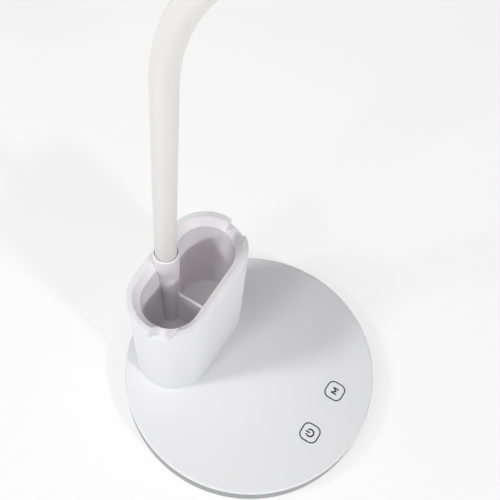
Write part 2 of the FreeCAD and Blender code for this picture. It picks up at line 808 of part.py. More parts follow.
def flexible_neck():
    """Wound steel core in a silicone sleeve, in lengths that meet at the places where it bends.

    The neck rises nearly straight out of the collar, and from the third bend on it arches
    forward in one round curve to the lamp head.
    """
    link_length = s.neck_pitch - s.bend_length
    sleeve_foot = collar_floor + s.cup_ferrule_height
    core_foot = collar_floor + s.cup_ferrule_floor
    foot = (float(neck_y), float(sleeve_foot), 0.0)
    neck_piece("neck_sleeve_1", s.sleeve_radius, s.sleeve_bore, s.neck_straight, None, foot)
    core_start = (float(neck_y), float(core_foot), 0.0)
    core_run = s.neck_straight + (sleeve_foot - core_foot)
    neck_piece("neck_core_1", s.core_radius, s.core_bore, core_run, None, core_start)
    place = step_along(foot, s.neck_straight, None)
    for number in range(1, BENDS + 1):
        if number == 1:
            bend_radius = s.first_bend_radius
        elif number <= STRAIGHT_LINKS + 1:
            bend_radius = None
        else:
            bend_radius = s.arch_radius
        link_radius = None if number <= STRAIGHT_LINKS else s.arch_radius
        link_run = s.neck_end_length if number == BENDS else link_length
        for kind, outer, inner in (
            ("sleeve", s.sleeve_radius, s.sleeve_bore),
            ("core", s.core_radius, s.core_bore),
        ):
            bend_name = f"{kind}_bend_{number}"
            neck_piece(bend_name, outer, inner, s.bend_length, bend_radius, place)
        hinge = step_along(place, s.bend_length * HALF, bend_radius)
        print(f"bend_{number} y {hinge[0]:.3f} z {hinge[1]:.3f} lean {math.degrees(hinge[2]):.3f}")
        place = step_along(place, s.bend_length, bend_radius)
        for kind, outer, inner in (
            ("sleeve", s.sleeve_radius, s.sleeve_bore),
            ("core", s.core_radius, s.core_bore),
        ):
            link_name = f"neck_{kind}_{number + 1}"
            neck_piece(link_name, outer, inner, link_run, link_radius, place)
        place = step_along(place, link_run, link_radius)
    print(f"head y {place[0]:.3f} z {place[1]:.3f} lean {math.degrees(place[2]):.3f}")
    return place


def set_on_neck(bodies, place):
    """Move head pieces from the head's own frame to the end of the neck."""
    y, z, angle = place
    tilt = math.degrees(angle) - RIGHT_ANGLE
    for body in bodies:
        body.Placement = Placement(Vector(0, y, z), Rotation(Vector(1, 0, 0), tilt))


# The head's own frame: the neck ends at its origin, the head runs towards -Y, +Z is its top
head_half = s.head_length * HALF - s.head_radius
head_middle = s.head_entry - s.head_length * HALF
head_bore = s.head_radius - s.head_wall
head_floor = -s.head_below
head_inside_top = s.head_above - s.head_wall
frame_low = head_floor + s.diffuser_thickness
frame_top = frame_low + s.frame_height
led_board_under = frame_top
led_board_top = led_board_under + s.led_board_thickness
heat_top = led_board_top + s.heat_plate_thickness
led_board_length = s.head_length - s.head_entry - s.led_board_start - s.led_board_end
led_board_half = led_board_length * HALF - s.led_board_radius
led_board_middle = -s.led_board_start - led_board_length * HALF
led_pitch = led_board_half * 2 / (LEDS_IN_ROW - 1)
head_boss_y = led_board_half - s.head_boss_inset
head_boss_places = [
    (s.head_boss_x * x, led_board_middle + head_boss_y * y) for x in (-1.0, 1.0) for y in (-1.0, 1.0)
]
head_screw_seat = led_board_under


def head_housing():
    """Upper housing of the lamp head, open below, with a hole for the neck at its back end."""
    body = new_body("head_housing")
    outline = sketch_on(body, height=head_floor)
    oval(outline, 0.0, head_middle, head_half, s.head_radius, along_y=True)
    pad(body, outline, s.head_below + s.head_above)
    fillet(body, s.head_round, lambda edge: level(edge, s.head_above))
    inside = sketch_on(body, height=head_floor)
    oval(inside, 0.0, head_middle, head_half, head_bore, along_y=True)
    pocket(body, inside, head_inside_top - head_floor, upward=True)
    entry = sketch_on(body, "XZ_Plane", height=-s.head_entry - s.overrun)
    circle(entry, 0.0, 0.0, s.sleeve_radius + s.head_hole_play)
    pocket(body, entry, s.head_wall + s.overrun * 3, upward=True)
    bosses = sketch_on(body, height=heat_top)
    for x, y in head_boss_places:
        circle(bosses, x, y, s.head_boss_radius)
        circle(bosses, x, y, s.screw_radius + s.screw_play * HALF)
    pad(body, bosses, head_inside_top - heat_top)
    clamp_y = -s.clamp_start - s.clamp_length * HALF
    clamp_bosses = sketch_on(body, height=s.clamp_top)
    for side in (-1.0, 1.0):
        circle(clamp_bosses, s.clamp_screw_x * side, clamp_y, s.screw_radius * 2)
    pad(body, clamp_bosses, head_inside_top - s.clamp_top)
    return body


def head_plug():
    """Flanged metal plug on the neck's upper end, held by the clamp inside the head."""
    body = new_body("head_plug")
    for height, length, radius in (
        (0.0, s.plug_flange, s.plug_flange_radius),
        (s.plug_flange, s.plug_length - s.plug_flange, s.plug_radius),
    ):
        sketch = sketch_on(body, "XZ_Plane", height=height)
        circle(sketch, 0.0, 0.0, radius)
        circle(sketch, 0.0, 0.0, s.core_bore)
        pad(body, sketch, length)
    return body


def head_clamp():
    """Saddle that holds the plug up against the housing."""
    body = new_body("head_clamp")
    high = s.clamp_top
    side = s.clamp_half_width
    sketch = sketch_on(body, "XZ_Plane", height=s.clamp_start)
    rectangle(sketch, -side, -high, side, high)
    circle(sketch, 0.0, 0.0, s.plug_radius + s.clamp_play)
    pad(body, sketch, s.clamp_length)
    clamp_y = -s.clamp_start - s.clamp_length * HALF
    places = [(s.clamp_screw_x, clamp_y), (-s.clamp_screw_x, clamp_y)]
    drill(body, high, high * 2, screw_hole, places)
    return body


def led_board():
    """Aluminium-backed light board."""
    body = new_body("led_board")
    sketch = sketch_on(body, height=led_board_under)
    oval(sketch, 0.0, led_board_middle, led_board_half, s.led_board_radius, along_y=True)
    pad(body, sketch, s.led_board_thickness)
    drill(body, led_board_top, s.led_board_thickness, screw_hole, head_boss_places)
    return body


def heat_plate():
    """Aluminium plate that spreads the light board's heat."""
    body = new_body("heat_plate")
    sketch = sketch_on(body, height=led_board_top)
    oval(sketch, 0.0, led_board_middle, led_board_half, s.led_board_radius, along_y=True)
    pad(body, sketch, s.heat_plate_thickness)
    drill(body, heat_top, s.heat_plate_thickness, screw_hole, head_boss_places)
    return body


def led_chips():
    """Two rows of light diodes under the board, as separate solids."""
    body = new_body("led_chips")
    sketch = sketch_on(body, height=led_board_under - s.led_height)
    for row in (-1.0, 1.0):
        for number in range(LEDS_IN_ROW):
            x = s.led_row_x * row
            y = led_board_middle + led_pitch * (number - (LEDS_IN_ROW - 1) * HALF)
            rectangle(sketch, x - s.led_half, y - s.led_half, x + s.led_half, y + s.led_half)
    pad(body, sketch, s.led_height)
    return body


def light_frame():
    """White frame that keeps the diffuser off the diodes and closes the light box."""
    body = new_body("light_frame")
    sketch = sketch_on(body, height=frame_low)
    outer = head_bore - s.head_play
    oval(sketch, 0.0, head_middle, head_half, outer, along_y=True)
    pad(body, sketch, s.diffuser_step)
    walls = sketch_on(body, height=frame_low)
    oval(walls, 0.0, led_board_middle, led_board_half, s.led_board_radius, along_y=True)
    pad(body, walls, s.frame_height)
    opening = sketch_on(body, height=frame_low)
    inner = s.led_board_radius - s.frame_wall
    oval(opening, 0.0, led_board_middle, led_board_half, inner, along_y=True)
    pocket(body, opening, s.frame_height, upward=True)
    return body


def diffuser():
    """Opal diffuser that closes the head from below."""
    body = new_body("diffuser")
    sketch = sketch_on(body, height=head_floor)
    oval(sketch, 0.0, head_middle, head_half, head_bore - s.head_play, along_y=True)
    pad(body, sketch, s.diffuser_thickness)
    return body


def check_document():
    """Stop if any feature failed or any piece's shape is unsound."""
    for item in document.Objects:
        if "Invalid" in item.State or "Error" in item.State:
            raise ValueError(f"{item.Name} is in state {item.State}")
    for body in parts:
        if body.Shape.isNull() or not body.Shape.isValid():
            raise ValueError(f"{body.Label} has no sound shape")


antislip_pad()
base_bottom()
ballast_plate()
base_cover()
screws("base_screws", base_screw_places, s.pad_thickness + s.screw_head_height, s.base_screw_length)
screws(
    "ballast_screws",
    ballast_screw_places,
    plate_top + s.ballast_thickness,
    s.ballast_thickness + s.plate_thickness * HALF,
    head_up=True,
)
control_board()
screws("board_screws", standoff_places, board_under, s.board_thickness)
touch_pads()
inlet_board()
power_socket()
organizer_shell()
organizer_liner()
screws("organizer_screws", cup_screw_places(), cover_under, s.cup_screw_length)
neck_ferrule()
neck_washer()
neck_nut()
neck_end = flexible_neck()
head_pieces = [
    head_housing(),
    head_plug(),
    head_clamp(),
    led_board(),
    heat_plate(),
    led_chips(),
    light_frame(),
    diffuser(),
    screws("board_holding_screws", head_boss_places, head_screw_seat, s.head_screw_length),
]
set_on_neck(head_pieces, neck_end)

document.recompute()
check_document()
os.makedirs("parts", exist_ok=True)
for body in parts:
    body.Shape.exportStep(f"parts/{body.Label}.step")
print(len(parts), "pieces")
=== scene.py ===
# Desk lamp on a round touch base, with an oval organizer cup and a flexible neck.
# Metres, in the CAD frame: the base's centre on the desk is the origin, +X is the user's right,
# +Y the back, and +Z is up. The touch keys lie towards -Y.
import json
import math

import bpy
from mathutils import Matrix, Vector


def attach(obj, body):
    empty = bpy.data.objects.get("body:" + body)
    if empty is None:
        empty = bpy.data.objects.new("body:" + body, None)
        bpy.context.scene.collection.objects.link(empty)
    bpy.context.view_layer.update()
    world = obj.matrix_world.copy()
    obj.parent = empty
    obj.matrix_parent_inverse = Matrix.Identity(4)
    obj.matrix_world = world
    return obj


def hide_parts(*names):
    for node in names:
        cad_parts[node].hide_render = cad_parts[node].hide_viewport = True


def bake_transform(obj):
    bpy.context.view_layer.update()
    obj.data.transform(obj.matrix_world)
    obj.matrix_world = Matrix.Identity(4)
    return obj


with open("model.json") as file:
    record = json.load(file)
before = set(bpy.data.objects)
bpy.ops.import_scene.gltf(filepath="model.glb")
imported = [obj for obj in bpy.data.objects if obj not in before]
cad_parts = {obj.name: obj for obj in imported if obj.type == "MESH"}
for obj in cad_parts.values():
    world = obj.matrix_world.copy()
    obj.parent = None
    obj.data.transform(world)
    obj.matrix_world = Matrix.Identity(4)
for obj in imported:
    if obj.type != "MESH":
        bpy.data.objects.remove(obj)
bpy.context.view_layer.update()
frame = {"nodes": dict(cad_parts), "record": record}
mm = 0.001


# --- Camera, desk and light -------------------------------------------------------------------
# The lamp is looked down on from high on its left. It stands on a plain pale desk, under a small
# lamp in front, two softboxes on the left and a broad pane above. The room's walls are pale low
# down, and its ceiling is dark.
camera_right = Vector((0.52139, -0.85182, 0.05054))
camera_up = Vector((0.7437, 0.48266, 0.46255))
camera_back = Vector((-0.4184, -0.20359, 0.88515))
camera_place = Vector((-0.17999, -0.07846, 0.55090))
bpy.ops.object.camera_add()
camera = bpy.context.object
camera.name = "camera"
camera.data.sensor_width = 36.0
camera.data.lens = 63.197
camera.data.clip_start = 0.01
turn_of_camera = Matrix((camera_right, camera_up, camera_back)).transposed().to_4x4()
camera.matrix_world = Matrix.Translation(camera_place) @ turn_of_camera
bpy.context.scene.camera = camera
bpy.context.scene.view_settings.view_transform = "Standard"

bpy.ops.mesh.primitive_plane_add(size=120.0, location=(0.0, 0.0, -0.0002))
desk = bpy.context.object
desk.name = "desk"
desk_paint = bpy.data.materials.new("pale_desk")
desk_paint.use_nodes = True
desk_shader = desk_paint.node_tree.nodes["Principled BSDF"]
desk_shader.inputs["Base Color"].default_value = (0.34, 0.34, 0.34, 1.0)
desk_shader.inputs["Roughness"].default_value = 0.85
desk_shader.inputs["Emission Color"].default_value = (1.0, 1.0, 1.0, 1.0)
desk_shader.inputs["Emission Strength"].default_value = 0.66
desk.data.materials.append(desk_paint)

room = bpy.data.worlds.new("pale_room")
bpy.context.scene.world = room
room.use_nodes = True
walls = room.node_tree
background = walls.nodes["Background"]
background.inputs["Color"].default_value = (0.98, 0.99, 1.0, 1.0)
way_out = walls.nodes.new("ShaderNodeTexCoord")
rise = walls.nodes.new("ShaderNodeSeparateXYZ")
walls.links.new(way_out.outputs["Generated"], rise.inputs["Vector"])
fade = walls.nodes.new("ShaderNodeMapRange")
fade.interpolation_type = "SMOOTHSTEP"
fade.inputs["From Min"].default_value = 0.0
fade.inputs["From Max"].default_value = 0.45
fade.inputs["To Min"].default_value = 0.60
fade.inputs["To Max"].default_value = 0.05
walls.links.new(rise.outputs["Z"], fade.inputs["Value"])
walls.links.new(fade.outputs["Result"], background.inputs["Strength"])


def soft_light(name, place, aim, width, height, power):
    """A softbox at a place, turned to the point it lights."""
    bpy.ops.object.light_add(type="AREA", location=place)
    light = bpy.context.object
    light.name = name
    light.data.shape = "RECTANGLE"
    light.data.size = width
    light.data.size_y = height
    light.data.energy = power
    way = Vector(aim) - Vector(place)
    light.rotation_euler = way.to_track_quat("-Z", "Y").to_euler()


lit_point = (0.0, 0.03, 0.06)
soft_light("front_lamp", (-0.39, -1.47, 1.14), lit_point, 0.16, 0.16, 12.6)
soft_light("back_left_box", (-1.05, 1.035, 1.47), lit_point, 0.30, 0.30, 13.0)
soft_light("left_box", (-0.99, 0.255, 1.17), lit_point, 0.25, 0.25, 3.6)
soft_light("top_pane", (-0.22, 0.14, 1.62), lit_point, 1.2, 1.2, 6.5)


# --- Base cover -------------------------------------------------------------------------------
# The round foot of the lamp: one moulded cap in white satin plastic, turned here from its
# section, with a small round along its top edge. Its side is stepped back for a band painted grey
# as shade, since little light reaches the base's side.
base_radius = 80.0 * mm
base_top = 15.0 * mm
edge_round = 1.2 * mm


def draw_section(name, points):
    """The half section of a piece, drawn as a chain of edges from its first point to its last."""
    bpy.ops.object.select_all(action="DESELECT")
    bpy.ops.mesh.primitive_plane_add(size=0.001, location=points[0])
    piece = bpy.context.object
    piece.name = name
    bpy.ops.object.transform_apply(location=True)
    bpy.ops.object.mode_set(mode="EDIT")
    bpy.ops.mesh.select_mode(type="VERT")
    bpy.ops.mesh.select_all(action="SELECT")
    bpy.ops.mesh.merge(type="CENTER")
    for before, after in zip(points, points[1:]):
        step = Vector(after) - Vector(before)
        bpy.ops.mesh.extrude_region_move(TRANSFORM_OT_translate={"value": step})
    bpy.ops.mesh.select_all(action="SELECT")
    return piece


merge_gap = 0.000005
same_place = 0.00001


def close_up(piece):
    """Merge what coincides, and turn every face outwards."""
    bpy.ops.mesh.select_all(action="SELECT")
    bpy.ops.mesh.remove_doubles(threshold=merge_gap)
    bpy.ops.mesh.normals_make_consistent(inside=False)
    bpy.ops.object.mode_set(mode="OBJECT")
    return piece


def turned(name, section, steps):
    """A round piece from its section, as radius and height, turned about the lamp's middle."""
    piece = draw_section(name, [(r, 0.0, z) for r, z in section])
    bpy.ops.mesh.spin(steps=steps, angle=2 * math.pi, center=(0, 0, 0), axis=(0, 0, 1))
    return close_up(piece)


def quarter_round(centre_r, centre_z, radius, first, last, steps):
    """Points of a rounding in a section, between two angles in degrees."""
    points = []
    for step in range(steps + 1):
        angle = math.radians(first + (last - first) * step / steps)
        points.append((centre_r + radius * math.cos(angle), centre_z + radius * math.sin(angle)))
    return points


def combine(piece, other, operation):
    """Join another solid to a piece, or cut it away, and drop the other."""
    boolean = piece.modifiers.new("combine", "BOOLEAN")
    boolean.object = other
    boolean.operation = operation
    boolean.solver = "EXACT"
    bpy.ops.object.select_all(action="DESELECT")
    bpy.context.view_layer.objects.active = piece
    piece.select_set(True)
    bpy.ops.object.modifier_apply(modifier=boolean.name)
    bpy.data.objects.remove(other)


def pick(piece, kind, wanted):
    """Select the points or the edges of a piece that pass the test."""
    bpy.ops.object.select_all(action="DESELECT")
    bpy.context.view_layer.objects.active = piece
    piece.select_set(True)
    bpy.ops.object.mode_set(mode="EDIT")
    bpy.ops.mesh.select_mode(type=kind)
    bpy.ops.mesh.select_all(action="DESELECT")
    bpy.ops.object.mode_set(mode="OBJECT")
    mesh = piece.data
    if kind == "VERT":
        for point in mesh.vertices:
            point.select = wanted(point.co)
    else:
        for edge in mesh.edges:
            ends = [mesh.vertices[index].co for index in edge.vertices]
            edge.select = wanted(*ends)
    bpy.ops.object.mode_set(mode="EDIT")


def smooth(piece, degrees):
    """Smooth shading, except across edges sharper than the angle."""
    bpy.ops.object.select_all(action="DESELECT")
    bpy.context.view_layer.objects.active = piece
    piece.select_set(True)
    bpy.ops.object.shade_smooth_by_angle(angle=math.radians(degrees))


def moulded_plastic(name, color, roughness, grain, tint=(0.985, 0.985, 1.0)):
    """Moulded plastic with a fine spark-eroded grain, and a shade that drifts a little."""
    material = bpy.data.materials.new(name)
    material.use_nodes = True
    tree = material.node_tree
    shader = tree.nodes["Principled BSDF"]
    place = tree.nodes.new("ShaderNodeTexCoord")
    drift = tree.nodes.new("ShaderNodeTexNoise")
    drift.inputs["Scale"].default_value = 18.0
    drift.inputs["Detail"].default_value = 2.0
    shade = tree.nodes.new("ShaderNodeMix")
    shade.data_type = "RGBA"
    shade.inputs["A"].default_value = (*color, 1.0)
    shade.inputs["B"].default_value = (*[c * t for c, t in zip(color, tint)], 1.0)
    fine = tree.nodes.new("ShaderNodeTexNoise")
    fine.inputs["Scale"].default_value = 2600.0
    fine.inputs["Detail"].default_value = 3.0
    dull = tree.nodes.new("ShaderNodeMapRange")
    dull.inputs["To Min"].default_value = roughness - 0.06
    dull.inputs["To Max"].default_value = roughness + 0.06
    bump = tree.nodes.new("ShaderNodeBump")
    bump.inputs["Strength"].default_value = grain
    bump.inputs["Distance"].default_value = 0.00005
    tree.links.new(place.outputs["Object"], drift.inputs["Vector"])
    tree.links.new(place.outputs["Object"], fine.inputs["Vector"])
    tree.links.new(drift.outputs["Fac"], shade.inputs["Factor"])
    tree.links.new(shade.outputs["Result"], shader.inputs["Base Color"])
    tree.links.new(fine.outputs["Fac"], dull.inputs["Value"])
    tree.links.new(dull.outputs["Result"], shader.inputs["Roughness"])
    tree.links.new(fine.outputs["Fac"], bump.inputs["Height"])
    tree.links.new(bump.outputs["Normal"], shader.inputs["Normal"])
    return material


def dress(piece, material, body):
    """Give a piece its finish, and let it move with a body of the lamp."""
    piece.data.materials.clear()
    piece.data.materials.append(material)
    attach(piece, body)


step_height = 13.4 * mm
step_radius = 79.3 * mm
step_edge = 79.85 * mm
cover_foot = 0.6 * mm
cover_inside = 77.5 * mm
cover_under = 12.5 * mm
around = 192
cover_section = [(0.0, base_top), (45.0 * mm, base_top), (78.4 * mm, base_top)]
cover_section += quarter_round(78.8 * mm, 13.8 * mm, edge_round, 90.0, 0.0, 8)
cover_section += [(base_radius, 13.55 * mm), (step_edge, step_height), (step_radius, step_height)]
cover_section += [(step_radius, cover_foot), (cover_inside, cover_foot)]
cover_section += [(cover_inside, cover_under), (0.0, cover_under)]
base_cover = turned("base_cover_shell", cover_section, around)

# The band round the base's side is painted grey: painted shade for the side that little light
# reaches.
band_top = 13.25 * mm
band_radius = 79.95 * mm
band_section = [(step_radius, band_top), (step_edge, band_top)]
band_section += [(band_radius, band_top - 0.1 * mm), (band_radius, 1.1 * mm)]
band_section += quarter_round(79.35 * mm, 1.1 * mm, 0.6 * mm, 0.0, -90.0, 4)
band_section += [(step_radius, 0.5 * mm), (step_radius, band_top)]
side_band = turned("base_side_band", band_section, around)


def socket_mouth():
    """The oval plug that cuts the power socket's mouth."""
    mouth_half_height = 1.8 * mm
    mouth_half_straight = 2.9 * mm
    bpy.ops.object.select_all(action="DESELECT")
    bpy.ops.mesh.primitive_cylinder_add(
        vertices=40,
        radius=mouth_half_height,
        depth=6.0 * mm,
        location=(0.0, 79.0 * mm, 8.1 * mm),
        rotation=(math.pi / 2, 0.0, 0.0),
    )
    mouth = bpy.context.object
    bpy.ops.object.transform_apply(location=True, rotation=True)
    for side in (-1.0, 1.0):
        pick(mouth, "VERT", lambda point: point.x * side > same_place)
        bpy.ops.transform.translate(value=(side * mouth_half_straight, 0.0, 0.0))
        bpy.ops.object.mode_set(mode="OBJECT")
    return mouth


combine(base_cover, socket_mouth(), "DIFFERENCE")
smooth(base_cover, 32.0)
white_plastic = moulded_plastic("white_satin_plastic", (0.88, 0.88, 0.885), 0.40, 0.10)
dress(base_cover, white_plastic, "stand")
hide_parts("base_cover")

combine(side_band, socket_mouth(), "DIFFERENCE")
smooth(side_band, 32.0)
# Painted shade: this grey stands in for the shade on the base's side, not for a grey plastic.
side_shade_grey = moulded_plastic("grey_painted_side_shade", (0.30, 0.30, 0.303), 0.38, 0.10)
dress(side_band, side_shade_grey, "stand")


# --- Foam foot --------------------------------------------------------------------------------
# A disc of dark grey foam, punched from sheet and stuck into the recess of the bottom plate. It
# keeps the lamp from sliding. Its punched edge is drawn in a little.
foam_radius = 73.75 * mm
foam_top = 1.17 * mm
foam_section = [(0.0, foam_top), (foam_radius, foam_top), (foam_radius, 0.45 * mm)]
foam_section += [(73.65 * mm, 0.2 * mm), (73.4 * mm, 0.06 * mm), (73.0 * mm, 0.0), (0.0, 0.0)]
foam_foot = turned("foam_foot", foam_section, 160)
smooth(foam_foot, 50.0)
dark_foam = moulded_plastic("dark_grey_foam", (0.06, 0.06, 0.065), 0.9, 0.6)
dress(foam_foot, dark_foam, "stand")
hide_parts("antislip_pad")


# --- Touch key marks --------------------------------------------------------------------------
# Printed on the cover in black ink: a rounded square round each key, with a power sign in
# the left one and a letter for the light's mode in the right one. The keys don't move.
key_spread = 16.1 * mm
key_y = -53.9 * mm
key_side = 12.1 * mm
key_corner = 4.2 * mm
line_width = 0.78 * mm
ink_height = 0.03 * mm

ink = moulded_plastic("black_ink", (0.02, 0.02, 0.022), 0.55, 0.05)


def key_outline(name, x):
    """A thin printed line round one key."""
    bpy.ops.object.select_all(action="DESELECT")
    bpy.ops.mesh.primitive_plane_add(size=key_side, location=(x, key_y, base_top + ink_height))
    outline = bpy.context.object
    outline.name = name
    bpy.ops.object.transform_apply(location=True)
    bpy.ops.object.mode_set(mode="EDIT")
    bpy.ops.mesh.select_all(action="SELECT")
    bpy.ops.mesh.bevel(offset=key_corner, segments=12, affect="VERTICES")
    bpy.ops.mesh.select_all(action="SELECT")
    bpy.ops.mesh.inset(thickness=line_width)
    bpy.ops.mesh.delete(type="FACE")
    bpy.ops.mesh.select_all(action="SELECT")
    bpy.ops.mesh.extrude_region_move(TRANSFORM_OT_translate={"value": (0, 0, -ink_height)})
    close_up(outline)
    dress(outline, ink, "stand")
    return outline


key_outline("power_key_outline", -key_spread)
key_outline("mode_key_outline", key_spread)

ring_outer, ring_inner = 2.8 * mm, 1.85 * mm
ring_section = [(ring_outer, 0), (ring_outer, 1), (ring_inner, 1), (ring_inner, 0)]
ring_section.append(ring_section[0])
power_ring = draw_section(
    "power_sign",
    [(-key_spread + r, key_y, base_top + z * ink_height) for r, z in ring_section],
)
bpy.ops.mesh.remove_doubles(threshold=merge_gap)
bpy.ops.mesh.edge_face_add()
ring_gap = 72.0
bpy.ops.transform.rotate(
    value=math.radians(ring_gap / 2 - 90.0),
    orient_axis="Z",
    center_override=(-key_spread, key_y, base_top),
)
bpy.ops.mesh.spin(
    steps=36,
    angle=math.radians(360.0 - ring_gap),
    center=(-key_spread, key_y, base_top),
    axis=(0, 0, 1),
)
close_up(power_ring)
stroke_width, stroke_length = 0.92 * mm, 2.8 * mm
bpy.ops.object.select_all(action="DESELECT")
bpy.ops.mesh.primitive_cube_add(
    size=1.0,
    location=(-key_spread, key_y + 1.5 * mm, base_top + ink_height / 2),
    scale=(stroke_width, stroke_length, ink_height),
)
power_stroke = bpy.context.object
bpy.ops.object.transform_apply(location=True, scale=True)
combine(power_ring, power_stroke, "UNION")
dress(power_ring, ink, "stand")

# The letter, in millimetres about its key's middle.
letter_outline = [(-2.2, -1.95), (-1.3, -1.95), (-1.3, 0.35), (-0.35, -1.2), (0.35, -1.2)]
letter_outline += [(1.3, 0.35), (1.3, -1.95), (2.2, -1.95), (2.2, 1.95), (1.35, 1.95), (0.0, -0.1)]
letter_outline += [(-1.35, 1.95), (-2.2, 1.95), (-2.2, -1.95)]
mode_letter = draw_section(
    "mode_sign", [(key_spread + x * mm, key_y + y * mm, base_top) for x, y in letter_outline]
)
bpy.ops.mesh.remove_doubles(threshold=merge_gap)
bpy.ops.mesh.select_all(action="SELECT")
bpy.ops.mesh.edge_face_add()
bpy.ops.mesh.extrude_region_move(TRANSFORM_OT_translate={"value": (0, 0, ink_height)})
close_up(mode_letter)
dress(mode_letter, ink, "stand")


# --- Organizer shell --------------------------------------------------------------------------
# The cup's outer wall: an oval moulding that leans out a little towards its broad flat lip. It
# stands on the base cover and is screwed to it from below. Each end has a notch for a phone.
cup_y = 46.1 * mm
cup_half = 18.1 * mm
rim_height = 104.6 * mm
foot_radius = 23.6 * mm
rim_radius = 24.7 * mm


def oval_moulding(name, section, steps, half=cup_half, middle=cup_y):
    """An oval piece from its section: turned round one end, drawn out straight and mirrored."""
    points = [(half, middle - r, z) for r, z in section]
    piece = draw_section(name, points)
    bpy.ops.mesh.spin(steps=steps, angle=-math.pi, center=(half, middle, 0.0), axis=(0, 0, 1))
    bpy.ops.mesh.select_all(action="SELECT")
    bpy.ops.mesh.remove_doubles(threshold=same_place)
    bpy.ops.object.mode_set(mode="OBJECT")
    pick(piece, "EDGE", lambda a, b: max(abs(a.x - half), abs(b.x - half)) < same_place)
    bpy.ops.mesh.extrude_region_move(TRANSFORM_OT_translate={"value": (-half, 0, 0)})
    bpy.ops.object.mode_set(mode="OBJECT")
    mirror = piece.modifiers.new("other_half", "MIRROR")
    mirror.use_mirror_merge = True
    mirror.merge_threshold = same_place
    bpy.ops.object.modifier_apply(modifier=mirror.name)
    bpy.ops.object.mode_set(mode="EDIT")
    return close_up(piece)


def notch_cutter():
    """The bar that cuts both device notches. Its edges flare at the lip, and its ends dip."""
    end_x = 46.0 * mm
    end_dip = 1.9 * mm
    # The corners of its outline in Y and Z, in millimetres.
    corners = [(33.9, 99.78), (43.2, 99.78), (43.55, 99.95), (43.7, 100.3), (43.85, 104.25)]
    corners += [(44.2, 104.6), (46.2, 106.6), (29.4, 106.6), (30.9, 104.6), (31.35, 104.25)]
    corners += [(33.1, 100.2), (33.4, 99.9)]
    points = [(-end_x, y * mm, z * mm) for y, z in corners]
    cutter = draw_section("notch_cutter", points + points[:1])
    bpy.ops.mesh.remove_doubles(threshold=same_place)
    bpy.ops.mesh.select_all(action="SELECT")
    bpy.ops.mesh.edge_face_add()
    for length in (10.5, 71.0, 10.5):
        bpy.ops.mesh.extrude_region_move(TRANSFORM_OT_translate={"value": (length * mm, 0, 0)})
    close_up(cutter)
    pick(cutter, "VERT", lambda point: abs(point.x) > end_x - mm and point.z < 101.0 * mm)
    bpy.ops.transform.translate(value=(0.0, 0.0, -end_dip))
    bpy.ops.object.mode_set(mode="OBJECT")
    return cutter


lip_round = 0.5 * mm
lip_inside = 21.5 * mm
half_turn_steps = 48
shell_foot = base_top + 0.02 * mm
lip_corner_radius = rim_radius - lip_round
lip_corner_height = rim_height - lip_round
shell_section = [(foot_radius, shell_foot), (foot_radius + 0.3 * mm, 40.0 * mm)]
shell_section += [(24.35 * mm, 76.0 * mm), (24.65 * mm, 103.0 * mm)]
shell_section += quarter_round(lip_corner_radius, lip_corner_height, lip_round, 0.0, 90.0, 5)
shell_section += [(23.4 * mm, rim_height), (21.9 * mm, rim_height), (lip_inside, rim_height)]
shell_section += [(lip_inside, 96.0 * mm), (22.6 * mm, 95.6 * mm)]
shell_section += [(21.6 * mm, shell_foot), (foot_radius, shell_foot)]
organizer_shell = oval_moulding("organizer_shell_wall", shell_section, half_turn_steps)
combine(organizer_shell, notch_cutter(), "DIFFERENCE")
smooth(organizer_shell, 32.0)
dress(organizer_shell, white_plastic, "stand")
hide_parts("organizer_shell")


# --- Organizer liner --------------------------------------------------------------------------
# The cup's inside, one moulding set into the shell: a funnel mouth, a tapering well with a flat
# floor, a divider, and a hollow post at the back that holds the neck in its collar.
floor_height = 31.0 * mm
floor_under = 29.0 * mm
flange_top = 104.56 * mm
flange_under = 96.0 * mm
flange_radius = 21.42 * mm
post_y = 59.5 * mm
neck_y = 60.9 * mm
collar_top = 113.9 * mm

liner_section = [(0.0, floor_height), (12.5 * mm, floor_height)]
liner_section += quarter_round(13.82 * mm, 32.6 * mm, 1.6 * mm, -90.0, 0.0, 6)
liner_section += [(15.5 * mm, 33.0 * mm), (16.3 * mm, 65.0 * mm), (17.18 * mm, 98.9 * mm)]
liner_section += quarter_round(17.75 * mm, 99.4 * mm, 0.55 * mm, 180.0, 128.0, 3)
liner_section += [(17.7 * mm, 100.05 * mm), (20.6 * mm, 103.9 * mm), (20.8 * mm, 104.25 * mm)]
liner_section += [(21.0 * mm, 104.48 * mm), (21.2 * mm, flange_top), (flange_radius, flange_top)]
liner_section += [(flange_radius, flange_under), (19.2 * mm, flange_under)]
liner_section += [(17.4 * mm, floor_under), (0.0, floor_under)]
organizer_liner = oval_moulding("organizer_liner_well", liner_section, half_turn_steps)


def bar_along_x(name, outline, half):
    """A straight bar from its outline in Y and Z, in millimetres, reaching half to each side."""
    points = [(-half * mm, y * mm, z * mm) for y, z in outline]
    bar = draw_section(name, points + points[:1])
    bpy.ops.mesh.remove_doubles(threshold=same_place)
    bpy.ops.mesh.select_all(action="SELECT")
    bpy.ops.mesh.edge_face_add()
    bpy.ops.mesh.extrude_region_move(TRANSFORM_OT_translate={"value": (2.0 * half * mm, 0, 0)})
    return close_up(bar)


def ring_move(rise, scale=1.0, shift=0.0):
    """Draw the selected ring out upwards, then widen or narrow it and shift it along Y."""
    bpy.ops.mesh.extrude_region_move(TRANSFORM_OT_translate={"value": (0, shift, rise)})
    if scale != 1.0:
        mesh = bpy.context.object
        bpy.ops.object.mode_set(mode="OBJECT")
        ring = [point.co for point in mesh.data.vertices if point.select]
        middle = sum(ring, Vector()) / len(ring)
        bpy.ops.object.mode_set(mode="EDIT")
        bpy.ops.transform.resize(value=(scale, scale, 1.0), center_override=middle)


